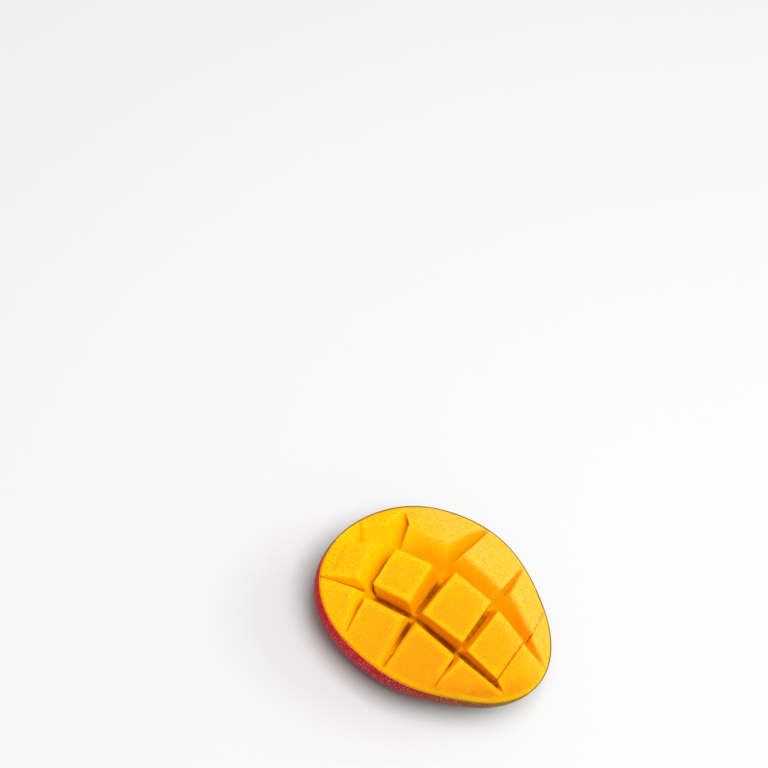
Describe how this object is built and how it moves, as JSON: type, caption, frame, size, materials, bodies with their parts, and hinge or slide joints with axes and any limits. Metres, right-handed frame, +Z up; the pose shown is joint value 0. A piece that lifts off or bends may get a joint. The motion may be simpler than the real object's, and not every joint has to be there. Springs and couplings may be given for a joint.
{
  "type": "cubed mango half",
  "caption": "Half of a ripe mango, its flesh scored crosswise into cubes and pushed out in a low dome above the rounded skin.",
  "frame": {"origin": "bottom centre of the bounding box, on the surface the half rests on", "axes": "+X along the fruit towards its narrow tip, +Z up out of the scored flesh, +Y across the fruit, away from the fuller side"},
  "size_m": [0.1244, 0.0978, 0.0362],
  "materials": {
    "flesh": "moist cut mango flesh, golden yellow, orange in the cuts",
    "skin": "smooth waxy skin, crimson to orange and yellow-green, with pale speckles"
  },
  "bodies": {
    "root": {"mango_half": "flesh"}
  },
  "joints": []
}
